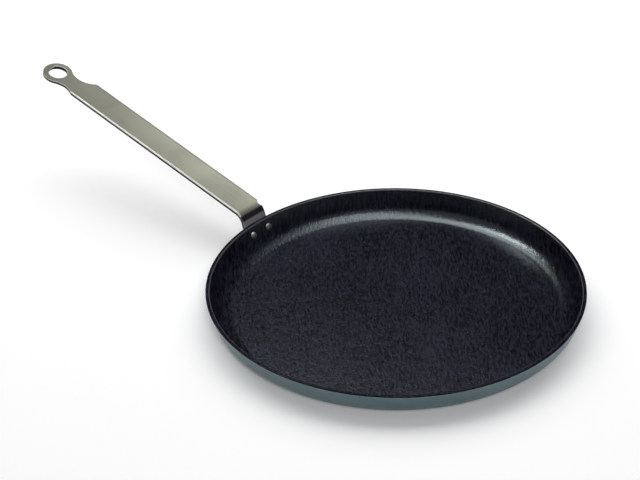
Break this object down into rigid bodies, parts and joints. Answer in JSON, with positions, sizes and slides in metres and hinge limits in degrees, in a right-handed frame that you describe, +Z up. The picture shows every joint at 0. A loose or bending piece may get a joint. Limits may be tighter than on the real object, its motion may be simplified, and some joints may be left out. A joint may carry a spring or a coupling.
{
  "type": "crepe pan",
  "caption": "Shallow round crepe pan with a flat base, a low leaning wall and a long bent strip handle, riveted on, that ends in a hanging eye.",
  "frame": {"origin": "centre of the pan's flat base, on the surface that it stands on", "axes": "+Z up, square to the base; +X from the pan's centre towards the handle; +Y to the handle's left, seen from the pan"},
  "size_m": [0.5376, 0.2992, 0.0872],
  "materials": {
    "pan_coating": "black non-stick lining over aluminium, teal-grey enamel outside",
    "handle_steel": "satin steel strip with a faint green-grey cast",
    "rivet_metal": "satin"
  },
  "bodies": {
    "root": {"pan_body": "pan_coating", "handle": "handle_steel", "rivets": "rivet_metal"}
  },
  "joints": []
}
